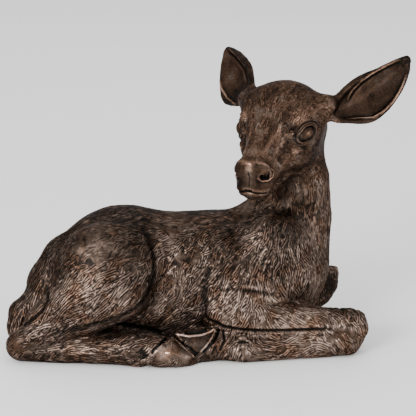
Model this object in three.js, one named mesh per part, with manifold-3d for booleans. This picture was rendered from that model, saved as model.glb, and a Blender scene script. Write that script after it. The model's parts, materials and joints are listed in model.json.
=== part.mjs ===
// A resting fawn, cast in aluminium as one piece: it lies with folded legs and looks back over its right side.
// X runs from the rump to the chest, Z is up, and the fawn's left side is +Y. The origin is on the ground.
import * as THREE from "three";
import { mergeVertices } from "three/addons/utils/BufferGeometryUtils.js";
import Module from "manifold-3d";

// Driving dimensions, in millimetres.
const LENGTH = 500; // from the hock to the tip of the left ear
const EAR_WALL = 6; // thickness of the cast ears
const GRID = 4; // spacing of the grid on which the skin is found
const TRIANGLES = 9500; // what the finished skin may have
const EVENNESS = 1e-3; // how much the faces are kept even instead of true, as a share
const HEAD_CARE = 4; // how much dearer the form of the head is than that of the body
const HEAD_REACH = 130; // how far from the skull's middle that care reaches

// Places and girths of the figure are shares of its length: one unit is a five-hundredth of it.
const UNIT = LENGTH / 500;
const SHARP = 3; // the tightest blend between two masses, in units
const FAR = 1e3;

// The lowest of two distances, rounded where they meet over a width k, and the highest of two.
function blend(a, b, k) {
  const h = Math.max(k - Math.abs(a - b), 0) / k;
  return Math.min(a, b) - (h * h * k) / 4;
}
const overlap = (a, b, k) => -blend(-a, -b, k);

// A value between knots [t, value], eased so that the curve through them stays smooth.
function eased(knots, t) {
  const last = knots.length - 1;
  if (t <= knots[0][0]) return knots[0][1];
  if (t >= knots[last][0]) return knots[last][1];
  const i = knots.findIndex((knot) => knot[0] > t) - 1;
  const slope = (n) => {
    const a = knots[Math.max(n - 1, 0)];
    const b = knots[Math.min(n + 1, last)];
    return (b[1] - a[1]) / (b[0] - a[0]);
  };
  const span = knots[i + 1][0] - knots[i][0];
  const s = (t - knots[i][0]) / span;
  const rise = s * s * (3 - 2 * s);
  return (
    knots[i][1] * (1 - rise) +
    knots[i + 1][1] * rise +
    span * slope(i) * s * (1 - s) * (1 - s) -
    span * slope(i + 1) * s * s * (1 - s)
  );
}

// A tapered limb through knots [x, y, z, radius].
function limb(k, ...knots) {
  const low = [0, 1, 2].map((i) => Math.min(...knots.map((p) => p[i] - p[3])));
  const high = [0, 1, 2].map((i) => Math.max(...knots.map((p) => p[i] + p[3])));
  const centre = low.map((v, i) => (v + high[i]) / 2);
  const reach = Math.hypot(...low.map((v, i) => (high[i] - v) / 2));
  const bones = knots.slice(1).map((b, i) => {
    const a = knots[i];
    const along = [b[0] - a[0], b[1] - a[1], b[2] - a[2]];
    return { a, along, square: along.reduce((s, v) => s + v * v, 0), swell: b[3] - a[3] };
  });
  const distance = (x, y, z) => {
    let best = FAR;
    for (const { a, along, square, swell } of bones) {
      const px = x - a[0];
      const py = y - a[1];
      const pz = z - a[2];
      const t = Math.min(1, Math.max(0, (px * along[0] + py * along[1] + pz * along[2]) / square));
      const gap = Math.hypot(px - t * along[0], py - t * along[1], pz - t * along[2]);
      best = blend(best, gap - a[3] - t * swell, SHARP);
    }
    return best;
  };
  return { k, centre, reach, distance };
}

// An egg with three half axes, turned by degrees about X, Y and Z.
function egg(k, centre, [rx, ry, rz], turn = [0, 0, 0]) {
  const angles = turn.map(THREE.MathUtils.degToRad);
  const m = new THREE.Matrix4().makeRotationFromEuler(new THREE.Euler(...angles)).elements;
  const distance = (x, y, z) => {
    const px = x - centre[0];
    const py = y - centre[1];
    const pz = z - centre[2];
    const u = (px * m[0] + py * m[1] + pz * m[2]) / rx;
    const v = (px * m[4] + py * m[5] + pz * m[6]) / ry;
    const w = (px * m[8] + py * m[9] + pz * m[10]) / rz;
    const far = Math.hypot(u, v, w);
    return (far * (far - 1)) / Math.max(Math.hypot(u / rx, v / ry, w / rz), 1e-6);
  };
  return { k, centre, reach: Math.max(rx, ry, rz), distance };
}

// The mass on the inner side of a plane through a point, with its normal facing out.
function planed(mass, point, normal, round = SHARP) {
  const n = new THREE.Vector3(...normal).normalize();
  const level = n.dot(new THREE.Vector3(...point));
  const distance = (x, y, z) => overlap(mass.distance(x, y, z), n.x * x + n.y * y + n.z * z - level, round);
  return { ...mass, distance };
}

// The same mass taken away instead of added, such as a crease.
const hollow = (mass) => ({ ...mass, hollow: true });

// The mass on the other side of the y = 0 plane.
function mirrored(mass) {
  const [x, y, z] = mass.centre;
  return { ...mass, centre: [x, -y, z], distance: (px, py, pz) => mass.distance(px, -py, pz) };
}
const pair = (...masses) => masses.flatMap((mass) => [mass, mirrored(mass)]);

// The masses moved by a step.
function shifted(masses, [dx, dy, dz]) {
  return masses.map((mass) => ({
    ...mass,
    centre: [mass.centre[0] + dx, mass.centre[1] + dy, mass.centre[2] + dz],
    distance: (x, y, z) => mass.distance(x - dx, y - dy, z - dz),
  }));
}

// One distance to all the masses, blended in their order. A mass too far off to count is passed over.
function fused(masses) {
  return (x, y, z) => {
    let d = FAR;
    for (const mass of masses) {
      const least = Math.hypot(x - mass.centre[0], y - mass.centre[1], z - mass.centre[2]) - mass.reach;
      if (mass.hollow) {
        if (least < mass.k - d) d = -blend(-d, mass.distance(x, y, z), mass.k);
      } else if (least < d + mass.k) {
        d = blend(d, mass.distance(x, y, z), mass.k);
      }
    }
    return d;
  };
}

// The trunk: spine, belly, ribs and breast.
function trunk() {
  return [
    limb(10, [-193, 4, 78, 32], [-168, 4, 100, 40], [-134, 4, 111, 50], [-92, 4, 109.5, 58]),
    limb(10, [-92, 4, 109.5, 58], [-38, 4, 104, 56], [62, 4, 100, 58]),
    limb(25, [-130, 0, 44, 52], [-20, 0, 50, 60], [70, 0, 52, 58]),
    ...pair(egg(25, [5, -20, 88], [80, 46, 58])),
    egg(25, [92, 0, 86], [50, 54, 60]),
  ];
}

// The neck stands upright, deeper than it is wide, and turns with the head.
function neck() {
  return [
    limb(30, [112, 0, 92, 34], [119, 1, 150, 35], [116, 0, 200, 34], [104, -4, 232, 36]),
    limb(10, [104, 4, 92, 34], [109, 4, 150, 27], [104, 4, 205, 29], [114, 12, 262, 35]),
  ];
}

// The near hind leg: thigh, stifle, gaskin, hock, cannon, fetlock and pastern.
function hindLeg() {
  return [
    egg(14, [-130, -38, 110], [58, 38, 54], [0, 20, 0]),
    egg(12, [-104, -54, 98], [30, 26, 40], [0, 25, 0]),
    limb(14, [-130, -54, 96, 32], [-175, -54, 76, 27], [-212, -51, 50, 18]),
    limb(8, [-112, -60, 80, 28], [-160, -64, 58, 23], [-205, -58, 38, 17], [-236, -51, 22, 17]),
    limb(4, [-236, -50, 17, 17], [-190, -60, 16, 16.5], [-150, -68, 17, 18], [-106, -78, 19, 20]),
    limb(5, [-106, -78, 20, 19], [-80, -82, 22, 16]),
  ];
}

// The near foreleg: shoulder, upper arm, forearm, knee, cannon, fetlock and pastern.
function foreLeg() {
  return [
    egg(16, [72, -38, 114], [42, 28, 56], [0, 20, 0]),
    limb(12, [100, -38, 92, 30], [20, -52, 66, 30]),
    limb(6, [6, -64, 54, 24], [40, -68, 49, 25], [100, -75, 41, 20.5], [157, -80, 36, 20]),
    limb(8, [163, -82, 33, 22], [157, -84, 18, 20]),
    limb(3, [154, -84, 15, 17], [100, -85, 11, 15], [31, -86, 13, 17]),
    limb(4, [31, -86, 13, 16], [4, -82, 16, 15]),
  ];
}

// A foot is two claws side by side, each a wedge from its coronet to its toe, with a dewclaw behind.
function hindFoot() {
  return [
    planed(egg(3, [-62, -92, 12], [36, 13, 19], [0, 18, 0]), [-44, -86, 16], [0.55, -0.1, 0.83]),
    planed(egg(2, [-58, -78, 13], [34, 9, 19], [0, 18, 0]), [-42, -76, 18], [0.55, -0.1, 0.83]),
    hollow(limb(5, [-88, -104, 8, 7], [-88, -90, 10, 7])),
    limb(3, [-100, -88, 6, 9], [-94, -92, 2, 4]),
  ];
}
function foreFoot() {
  return [
    planed(egg(3, [-12, -84, 21], [33, 12, 22], [0, -20, 0]), [-14, -84, 31], [-0.1, -0.35, 0.93]),
    planed(egg(2, [-12, -66, 21], [32, 10, 22], [0, -20, 0]), [-14, -66, 31], [-0.1, -0.3, 0.93]),
    egg(2, [33, -96, 26], [7, 5, 4]),
    egg(2, [29, -100, 19], [5, 4, 4]),
  ];
}

function tail() {
  return [limb(8, [-192, -2, 84, 20], [-209, -8, 62, 19], [-229, -12, 46, 19], [-235, -14, 28, 17])];
}

// The head is symmetrical in a frame of its own: f to the nose, s to its left, u up, from the skull's middle.
const HEAD = { place: [84, -19.5, 272], heading: -124, pitch: 10, roll: 2 };
function headMatrix() {
  const { place, heading, pitch, roll } = HEAD;
  const [h, p, r] = [heading, pitch, roll].map(THREE.MathUtils.degToRad);
  return new THREE.Matrix4()
    .makeRotationFromEuler(new THREE.Euler(r, p, h, "ZYX"))
    .setPosition(...place);
}

function skull() {
  return [
    egg(10, [-16, 0, 6], [48, 52, 45]),
    limb(18, [20, 0, 2, 30], [58, 0, -10, 21], [84, 0, -18, 16]),
    limb(14, [24, 0, -16, 31], [76, 0, -30, 22]),
    egg(8, [86, 0, -22], [15, 23, 17]),
    egg(6, [86, 0, -42], [17, 21, 14]),
    limb(4, [14, 0, -36, 27], [68, 0, -52, 13]),
    ...pair(egg(14, [6, -28, -18], [34, 18, 28])),
    ...pair(hollow(egg(8, [22, -46, 1], [16, 9, 11])), egg(2, [17, -34, 2], [12, 11.5, 10.5])),
    ...pair(limb(4, [2, -42, 9, 4], [14, -44, 14, 4.5], [28, -38, 12, 4.5], [36, -29, 5, 4])),
    ...pair(limb(12, [-16, -36, 20, 18], [-26, -52, 22, 13])),
    ...pair(hollow(egg(3, [92, -20, -25], [7, 5, 5]))),
    ...pair(hollow(limb(3, [102, -4, -52, 2.5], [88, -18, -50, 2.5], [66, -22, -42, 2.5], [46, -26, -32, 2]))),
  ];
}

// An ear is a leaf with a trough along it and a bead on its rim, heavier in front, where the rim rolls over.
// Its front and rear edges bow out by these widths along its length.
const EARS = {
  depth: 0.5,
  bead: [4.6, 3.2],
  left: {
    base: [-20, 46, 22],
    tip: [-121, 124, 52],
    open: [0.8, 0.44, 0.42],
    front: [[0, -2], [0.15, -2], [0.33, 4], [0.47, 6], [0.66, 4], [0.8, 3], [0.93, 2], [1, 0]],
    rear: [[0, 18], [0.1, 28], [0.33, 44], [0.5, 44], [0.7, 35], [0.9, 19], [1, 4]],
  },
  right: {
    base: [-20, -46, 22],
    tip: [-121, -123, 48],
    open: [0.8, -0.44, 0.42],
    front: [[0, 7], [0.15, 14], [0.33, 22], [0.47, 22], [0.66, 18], [0.8, 13], [0.93, 7], [1, 2]],
    rear: [[0, 8], [0.1, 14], [0.33, 32], [0.5, 39], [0.7, 33], [0.9, 17], [1, 3]],
  },
};
function ear(side, hand) {
  const base = new THREE.Vector3(...side.base);
  const tip = new THREE.Vector3(...side.tip);
  const along = tip.clone().sub(base);
  const length = along.length();
  along.normalize();
  const open = new THREE.Vector3(...side.open);
  open.addScaledVector(along, -open.dot(along)).normalize();
  const across = new THREE.Vector3().crossVectors(along, open).multiplyScalar(hand);
  const wall = EAR_WALL / UNIT / 2;
  const centre = base.clone().add(tip).multiplyScalar(0.5);
  const distance = (x, y, z) => {
    const p = new THREE.Vector3(x, y, z).sub(base);
    const t = p.dot(along) / length;
    const front = eased(side.front, t);
    const rear = eased(side.rear, t);
    const half = (front + rear) / 2;
    const w = p.dot(across) - (rear - front) / 2;
    const share = Math.min(Math.abs(w) / half, 1);
    const height = p.dot(open);
    const floor = -EARS.depth * half * (1 - share * share);
    const slope = 2 * EARS.depth * share;
    const skin = Math.abs(height - floor) / Math.hypot(1, slope) - wall;
    const ends = Math.max(t - 1, -t) * length;
    const sheet = overlap(overlap(skin, Math.abs(w) - half, 2), ends, 2);
    const [heavy, light] = EARS.bead;
    const bead = w < 0 ? heavy + (light - heavy) * Math.min(Math.max(t, 0), 1) : light;
    return blend(sheet, Math.hypot(Math.abs(w) - half, height, Math.max(ends, 0)) - bead, 2);
  };
  return { k: 6, centre: centre.toArray(), reach: length / 2 + 45, distance };
}

function head() {
  const e = headMatrix().invert().elements;
  const inner = fused([...skull(), ear(EARS.left, 1), ear(EARS.right, -1)]);
  const distance = (x, y, z) =>
    inner(
      e[0] * x + e[4] * y + e[8] * z + e[12],
      e[1] * x + e[5] * y + e[9] * z + e[13],
      e[2] * x + e[6] * y + e[10] * z + e[14],
    );
  return { k: 12, centre: HEAD.place, reach: 200, distance };
}

// The far legs lie as the near ones do: a little further forward behind, and further back and up in front.
const FAR_HIND = [22, -6, 0];
const FAR_FORE = [-8, -30, 12];
const figure = fused([
  ...trunk(),
  ...neck(),
  ...hindLeg(),
  ...shifted(hindLeg().map(mirrored), FAR_HIND),
  ...foreLeg(),
  ...shifted(foreLeg().map(mirrored), FAR_FORE),
  ...hindFoot(),
  ...shifted(hindFoot().map(mirrored), FAR_HIND),
  ...foreFoot(),
  ...shifted(foreFoot().map(mirrored), FAR_FORE),
  ...tail(),
  head(),
]);

// The skin of the figure, found on a grid of cubes that are each cut into six tetrahedra.
function skinOf(distance, low, high, step) {
  const count = low.map((v, i) => Math.ceil((high[i] - v) / step) + 1);
  const [nx, ny] = count;
  const samples = new Float32Array(count[0] * count[1] * count[2]).fill(FAR);
  const at = (i, j, k) => i + nx * (j + ny * k);
  const block = 4;
  for (let k = 0; k < count[2]; k += block)
    for (let j = 0; j < count[1]; j += block)
      for (let i = 0; i < count[0]; i += block) {
        const half = (block * step) / 2;
        const middle = distance(low[0] + i * step + half, low[1] + j * step + half, low[2] + k * step + half);
        const close = Math.abs(middle) < half * 3;
        for (let c = k; c <= Math.min(k + block, count[2] - 1); c++)
          for (let b = j; b <= Math.min(j + block, count[1] - 1); b++)
            for (let a = i; a <= Math.min(i + block, count[0] - 1); a++) {
              const n = at(a, b, c);
              if (close) samples[n] = distance(low[0] + a * step, low[1] + b * step, low[2] + c * step);
              else if (samples[n] === FAR) samples[n] = middle;
            }
      }
  const corner = [0, 1, 2, 3, 4, 5, 6, 7].map((c) => at(c & 1, (c >> 1) & 1, (c >> 2) & 1));
  const paths = [[1, 3], [1, 5], [2, 3], [2, 6], [4, 5], [4, 6]];
  const points = [];
  const faces = [];
  const known = new Map();
  const place = (n) => [n % nx, Math.floor(n / nx) % ny, Math.floor(n / (nx * ny))];
  const crossing = (cell, p, q) => {
    const key = (cell + corner[p]) * 8 + (q ^ p);
    if (!known.has(key)) {
      const a = cell + corner[p];
      const b = cell + corner[q];
      const t = Math.min(0.96, Math.max(0.04, samples[a] / (samples[a] - samples[b])));
      const from = place(a);
      const to = place(b);
      known.set(key, points.length);
      points.push(from.map((v, i) => low[i] + (v + (to[i] - v) * t) * step));
    }
    return known.get(key);
  };
  for (let k = 0; k < count[2] - 1; k++)
    for (let j = 0; j < count[1] - 1; j++)
      for (let i = 0; i < count[0] - 1; i++) {
        const cell = at(i, j, k);
        let inside = 0;
        for (const c of corner) inside += samples[cell + c] < 0 ? 1 : 0;
        if (inside === 0 || inside === 8) continue;
        paths.forEach(([a, b], n) => {
          const tet = [0, a, b, 7];
          const into = tet.filter((c) => samples[cell + corner[c]] < 0);
          const out = tet.filter((c) => samples[cell + corner[c]] >= 0);
          if (!into.length || !out.length) return;
          const edge = (p, q) => crossing(cell, Math.min(p, q), Math.max(p, q));
          const found =
            into.length === 1
              ? [out.map((q) => edge(into[0], q))]
              : into.length === 3
                ? [into.map((p) => edge(p, out[0]))]
                : [
                    [edge(into[0], out[0]), edge(into[0], out[1]), edge(into[1], out[1])],
                    [edge(into[0], out[0]), edge(into[1], out[1]), edge(into[1], out[0])],
                  ];
          const bits = (c) => [c & 1, (c >> 1) & 1, (c >> 2) & 1];
          const outward = bits(out[0]).map((v, m) => v - bits(into[0])[m]);
          for (const f of found) {
            const [p, q, r] = f.map((v) => points[v]);
            const u = q.map((v, m) => v - p[m]);
            const w = r.map((v, m) => v - p[m]);
            const normal = [u[1] * w[2] - u[2] * w[1], u[2] * w[0] - u[0] * w[2], u[0] * w[1] - u[1] * w[0]];
            const facing = normal[0] * outward[0] + normal[1] * outward[1] + normal[2] * outward[2];
            faces.push(facing > 0 ? f : [f[0], f[2], f[1]]);
          }
        });
      }
  return { points, faces };
}

// How far a face's plane lies from a point, squared, as the ten sums of a quadric, added to those of a corner.
function addPlane(sums, at, [a, b, c, d], weight) {
  const terms = [a * a, a * b, a * c, a * d, b * b, b * c, b * d, c * c, c * d, d * d];
  terms.forEach((term, i) => (sums[at * 10 + i] += term * weight));
}

// The normal of a face through three points, as long as twice its area.
function faceNormal(p, q, r) {
  const u = [q[0] - p[0], q[1] - p[1], q[2] - p[2]];
  const w = [r[0] - p[0], r[1] - p[1], r[2] - p[2]];
  return [u[1] * w[2] - u[2] * w[1], u[2] * w[0] - u[0] * w[2], u[0] * w[1] - u[1] * w[0]];
}
const dot = (a, b) => a[0] * b[0] + a[1] * b[1] + a[2] * b[2];

// The skin with fewer faces. The edge that can shrink to a point at the least cost to the form goes first.
// A corner on the ground stays on it, and weight says how dear the form is at a point.
function simplified({ points, faces }, target, weight) {
  const around = points.map(() => new Set());
  const sums = new Float64Array(points.length * 10);
  const version = new Int32Array(points.length);
  const grounded = points.map((p) => Math.abs(p[2]) < 1e-4);
  faces.forEach((face, f) => {
    const corners = face.map((v) => points[v]);
    const normal = faceNormal(...corners);
    const size = Math.hypot(...normal);
    for (const v of face) around[v].add(f);
    if (size < 1e-9) return;
    const n = normal.map((v) => v / size);
    const dear = weight(corners[0]) * size;
    for (const v of face) {
      addPlane(sums, v, [...n, -dot(n, corners[0])], dear);
      [0, 1, 2].forEach((i) => {
        const axis = [0, 0, 0];
        axis[i] = 1;
        addPlane(sums, v, [...axis, -points[v][i]], dear * EVENNESS);
      });
    }
  });
  const neighbours = (v) => {
    const found = new Set();
    for (const f of around[v]) for (const n of faces[f]) if (n !== v) found.add(n);
    return found;
  };
  const merged = (a, b) => {
    const q = Array.from({ length: 10 }, (_, i) => sums[a * 10 + i] + sums[b * 10 + i]);
    const matrix = new THREE.Matrix3().set(q[0], q[1], q[2], q[1], q[4], q[5], q[2], q[5], q[7]);
    const place = new THREE.Vector3(-q[3], -q[6], -q[8]).applyMatrix3(matrix.invert()).toArray();
    if (grounded[a] || grounded[b]) place[2] = 0;
    const [x, y, z] = place;
    const cost =
      q[0] * x * x + q[4] * y * y + q[7] * z * z + q[9] +
      2 * (q[1] * x * y + q[2] * x * z + q[5] * y * z + q[3] * x + q[6] * y + q[8] * z);
    return { place, cost };
  };
  const keeps = (v, other, place) => {
    for (const f of around[v]) {
      if (faces[f].includes(other)) continue;
      const before = faceNormal(...faces[f].map((n) => points[n]));
      const after = faceNormal(...faces[f].map((n) => (n === v ? place : points[n])));
      if (dot(before, after) < 0.2 * Math.hypot(...before) * Math.hypot(...after)) return false;
    }
    return true;
  };
  const heap = [];
  const push = (a, b) => {
    const item = { a, b, cost: merged(a, b).cost, stamp: version[a] + version[b] };
    let i = heap.push(item) - 1;
    while (i > 0) {
      const up = (i - 1) >> 1;
      if (heap[up].cost <= item.cost) break;
      heap[i] = heap[up];
      i = up;
    }
    heap[i] = item;
  };
  const pop = () => {
    const top = heap[0];
    const item = heap.pop();
    if (!heap.length) return top;
    let i = 0;
    for (;;) {
      let down = 2 * i + 1;
      if (down >= heap.length) break;
      if (down + 1 < heap.length && heap[down + 1].cost < heap[down].cost) down += 1;
      if (heap[down].cost >= item.cost) break;
      heap[i] = heap[down];
      i = down;
    }
    heap[i] = item;
    return top;
  };
  points.forEach((_, a) => {
    for (const b of neighbours(a)) if (a < b) push(a, b);
  });
  let left = faces.length;
  while (left > target && heap.length) {
    const { a, b, stamp } = pop();
    if (!around[a].size || !around[b].size || stamp !== version[a] + version[b]) continue;
    const near = neighbours(a);
    const shared = [...neighbours(b)].filter((n) => near.has(n));
    if (!near.has(b) || shared.length !== 2) continue;
    const { place } = merged(a, b);
    if (!keeps(a, b, place) || !keeps(b, a, place)) continue;
    points[a] = place;
    grounded[a] ||= grounded[b];
    for (let i = 0; i < 10; i++) sums[a * 10 + i] += sums[b * 10 + i];
    for (const f of around[b]) {
      if (faces[f].includes(a)) {
        for (const v of faces[f]) if (v !== b) around[v].delete(f);
        left -= 1;
      } else {
        faces[f] = faces[f].map((v) => (v === b ? a : v));
        around[a].add(f);
      }
    }
    around[b].clear();
    version[a] += 1;
    version[b] += 1;
    for (const n of neighbours(a)) push(a, n);
  }
  const kept = points.map((_, v) => v).filter((v) => around[v].size);
  const rank = new Map(kept.map((v, i) => [v, i]));
  const alive = new Set(kept.flatMap((v) => [...around[v]]));
  return {
    points: kept.map((v) => points[v]),
    faces: [...alive].map((f) => faces[f].map((v) => rank.get(v))),
  };
}

const wasm = await Module();
wasm.setup();

function solidOf({ points, faces }) {
  const mesh = { numProp: 3, vertProperties: new Float32Array(points.flat()), triVerts: new Uint32Array(faces.flat()) };
  return new wasm.Manifold(new wasm.Mesh(mesh));
}

// Everything below the ground is cut off, which leaves the flat underside that the casting stands on.
function cutAtGround(skin) {
  const block = new THREE.BoxGeometry(1200, 1200, 200).translate(0, 0, -100);
  block.deleteAttribute("normal");
  block.deleteAttribute("uv");
  const merged = mergeVertices(block);
  const corners = Array.from({ length: merged.attributes.position.count }, (_, i) =>
    new THREE.Vector3().fromBufferAttribute(merged.attributes.position, i).toArray(),
  );
  const index = merged.index.array;
  const sides = Array.from({ length: index.length / 3 }, (_, f) => [...index.slice(f * 3, f * 3 + 3)]);
  const { vertProperties, triVerts } = solidOf(skin).subtract(solidOf({ points: corners, faces: sides })).getMesh();
  return {
    points: Array.from({ length: vertProperties.length / 3 }, (_, i) => [...vertProperties.slice(i * 3, i * 3 + 3)]),
    faces: Array.from({ length: triVerts.length / 3 }, (_, f) => [...triVerts.slice(f * 3, f * 3 + 3)]),
  };
}

const rough = skinOf(figure, [-266, -130, -24], [262, 170, 392], GRID);
const dearness = ([x, y, z]) => {
  const [hx, hy, hz] = HEAD.place;
  return Math.hypot(x - hx, y - hy, z - hz) < HEAD_REACH ? HEAD_CARE : 1;
};
const casting = simplified(cutAtGround(rough), TRIANGLES, dearness);

const geometry = new THREE.BufferGeometry();
geometry.setAttribute("position", new THREE.Float32BufferAttribute(casting.points.flat().map((v) => v * UNIT), 3));
geometry.setIndex(casting.faces.flat());
geometry.computeVertexNormals();
const bronze = new THREE.MeshStandardMaterial({ color: 0x4a3228, roughness: 0.42, metalness: 0.85 });
const fawn = new THREE.Mesh(geometry, bronze);
fawn.name = "fawn";
const group = new THREE.Group();
group.add(fawn);
export default group;
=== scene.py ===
# %% [markdown]
# # A resting fawn, cast in aluminium and patinated like old bronze
#
# The real object is one sand casting. A sculptor modelled it in clay: first the masses of the body, then
# the eyes, nostrils, hooves and folds, and last the coat, pressed in with a wire tool in thousands of short
# strokes. The foundry cast it, coated it nearly black and rubbed the high spots back to a copper tone.
# This lesson follows the same order: the masses come from the packed model, and all finer forms are sculpted
# on them.

import bpy
import json
import math
import numpy as np
from numpy.linalg import norm
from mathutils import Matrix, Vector, kdtree
from mathutils.bvhtree import BVHTree

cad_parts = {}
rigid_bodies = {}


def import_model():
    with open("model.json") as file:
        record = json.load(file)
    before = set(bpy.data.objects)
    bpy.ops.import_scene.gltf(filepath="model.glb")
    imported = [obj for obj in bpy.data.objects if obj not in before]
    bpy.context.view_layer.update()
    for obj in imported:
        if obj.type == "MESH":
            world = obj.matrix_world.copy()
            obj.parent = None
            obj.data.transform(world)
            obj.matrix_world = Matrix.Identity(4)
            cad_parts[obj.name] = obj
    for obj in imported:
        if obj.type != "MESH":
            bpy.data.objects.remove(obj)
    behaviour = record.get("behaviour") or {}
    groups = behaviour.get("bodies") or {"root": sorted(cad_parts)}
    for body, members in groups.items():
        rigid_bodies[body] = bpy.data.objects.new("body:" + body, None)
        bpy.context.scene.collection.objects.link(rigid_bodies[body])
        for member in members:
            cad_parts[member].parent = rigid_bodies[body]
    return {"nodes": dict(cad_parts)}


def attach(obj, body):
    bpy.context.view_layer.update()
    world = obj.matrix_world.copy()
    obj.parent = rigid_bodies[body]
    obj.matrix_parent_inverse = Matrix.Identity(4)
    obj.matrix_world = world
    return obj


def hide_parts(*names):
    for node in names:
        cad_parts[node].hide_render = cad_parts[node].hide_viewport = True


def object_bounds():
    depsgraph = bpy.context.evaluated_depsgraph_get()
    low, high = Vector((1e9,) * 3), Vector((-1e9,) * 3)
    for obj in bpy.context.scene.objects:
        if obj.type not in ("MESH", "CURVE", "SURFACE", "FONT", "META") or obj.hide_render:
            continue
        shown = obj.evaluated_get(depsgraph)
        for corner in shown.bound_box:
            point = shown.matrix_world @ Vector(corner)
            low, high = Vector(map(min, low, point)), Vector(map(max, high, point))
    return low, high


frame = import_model()
bpy.ops.object.select_all(action="DESELECT")
cad_box = [list(corner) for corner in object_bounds()]
print("model's box in metres:", cad_box)

# %% [markdown]
# ## Camera
#
# The fawn was photographed with a long lens from a little above its back, eight degrees round towards the
# rump. The camera comes first, because the carving below is placed with its help: a fold that shows at some
# place in the picture is found on the surface by shooting a ray through that place.

# %% Place the camera
AZIMUTH, ELEVATION = math.radians(-8), math.radians(17)
AIM = Vector((-0.0006, 0.0, 0.1674))
DISTANCE = 1.9
PICTURE = 416
METRES_PER_PIXEL = 0.50 / 407
SENSOR = 36

to_camera = Vector((
    math.sin(AZIMUTH) * math.cos(ELEVATION),
    -math.cos(AZIMUTH) * math.cos(ELEVATION),
    math.sin(ELEVATION),
))
bpy.ops.object.camera_add(location=AIM + to_camera * DISTANCE)
camera = bpy.context.object
camera.name = "camera"
camera.rotation_euler = to_camera.to_track_quat("Z", "Y").to_euler()
camera.data.sensor_width = SENSOR
camera.data.lens = SENSOR * DISTANCE / (PICTURE * METRES_PER_PIXEL)
bpy.context.scene.camera = camera
print("lens", round(camera.data.lens, 1), "mm")

# %% [markdown]
# ## Floor and light
#
# A pale floor runs far out behind the fawn. A soft box stands in front of the rump, a weaker one on the side
# of the chest and a faint, larger one high behind. Polished metal only shows what it reflects, so the lights
# are large and the room is bright: that gives soft highlights on the haunch and the brow.

# %% Floor, world and soft boxes
FLOOR_SIZE = 12
FLOOR_PAINT = (0.95, 0.95, 0.95, 1)
FLOOR_ROUGHNESS = 0.9
ROOM_BRIGHTNESS = 1.25
SOFT_BOXES = [
    # name, place and size in metres, watts
    ("key", (-1.35, -1.55, 0.95), 0.8, 46),
    ("fill", (1.5, -1.5, 0.7), 0.8, 10),
    ("rim", (0.3, 1.5, 1.6), 1.2, 5),
]

bpy.ops.mesh.primitive_plane_add(size=FLOOR_SIZE, location=(0, 0, 0))
floor = bpy.context.object
floor.name = "studio_floor"
floor_paint = bpy.data.materials.new("pale_floor")
floor_paint.use_nodes = True
paint = floor_paint.node_tree.nodes["Principled BSDF"]
paint.inputs["Base Color"].default_value = FLOOR_PAINT
paint.inputs["Roughness"].default_value = FLOOR_ROUGHNESS
floor.data.materials.append(floor_paint)

room = bpy.data.worlds.new("bright_room")
room.use_nodes = True
room.node_tree.nodes["Background"].inputs["Color"].default_value = (1, 1, 1, 1)
room.node_tree.nodes["Background"].inputs["Strength"].default_value = ROOM_BRIGHTNESS
bpy.context.scene.world = room


def soft_box(name, place, size, watts):
    bpy.ops.object.light_add(type="AREA", location=place)
    lamp = bpy.context.object
    lamp.name = name
    lamp.data.shape = "SQUARE"
    lamp.data.size = size
    lamp.data.energy = watts
    lamp.rotation_euler = (Vector(place) - AIM).to_track_quat("Z", "Y").to_euler()
    return lamp


print("lights:", [soft_box(*values).name for values in SOFT_BOXES])

# %% [markdown]
# ## Rays through the picture
#
# A ray from the camera through a place of the picture is used in two ways: to place a new form at a known
# distance, and later to find the skin itself. From here on most sizes are in millimetres.

# %% Rays through the picture, and sizes in millimetres
MM = 1000.0
LEAST_HEIGHT = 0.0005
right = Vector((0, 0, 1)).cross(to_camera).normalized()
upward = to_camera.cross(right)


def ray_through(x, y):
    middle = PICTURE / 2
    ray = right * (x - middle) * METRES_PER_PIXEL + upward * (middle - y) * METRES_PER_PIXEL
    return (ray - to_camera * DISTANCE).normalized()


def at_depth(x, y, depth):
    """The point behind a place of the picture, at a distance in front of the body's middle plane."""
    ray = ray_through(x, y)
    point = camera.location + ray * ((-depth / MM - camera.location.y) / ray.y)
    return [point.x, point.y, max(point.z, LEAST_HEIGHT)]


print("one pixel is", round(METRES_PER_PIXEL * MM, 2), "mm")

# %% [markdown]
# ## The clay body
#
# The packed model carries the masses in about nine thousand flat faces. A copy of it is merged, rounded with
# one level of subdivision and then remeshed with small voxels: that gives a skin of even little squares that
# can be pushed in and out anywhere, like clay. The packed model itself is never touched.

# %% Copy, round and remesh the body
VOXEL = 0.0010
MERGE_GAP = 1e-6

node = frame["nodes"]["fawn"]
fawn = bpy.data.objects.new("fawn_casting", node.data.copy())
bpy.context.collection.objects.link(fawn)
fawn.data.materials.clear()


def only(thing):
    bpy.ops.object.select_all(action="DESELECT")
    thing.select_set(True)
    bpy.context.view_layer.objects.active = thing


def edit_all(thing, step, **settings):
    """One step on the whole mesh, and its normals turned outwards."""
    only(thing)
    bpy.ops.object.mode_set(mode="EDIT")
    bpy.ops.mesh.select_all(action="SELECT")
    step(**settings)
    bpy.ops.mesh.normals_make_consistent(inside=False)
    bpy.ops.object.mode_set(mode="OBJECT")


edit_all(fawn, bpy.ops.mesh.remove_doubles, threshold=MERGE_GAP)
rounding = fawn.modifiers.new("rounding", "SUBSURF")
rounding.levels = rounding.render_levels = 1
bpy.ops.object.modifier_apply(modifier="rounding")
print("body:", len(fawn.data.vertices), "points")

# %% [markdown]
# The hooves are harder forms than the soft masses above them. Each is a block with flat sides, added by its
# corners and closed by a convex hull. The knees are blocks too, drawn in at the front and the back, and the
# dewclaws and heels are balls drawn out of round. All are joined to the body, and the remesh melts them into
# one skin.

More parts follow.
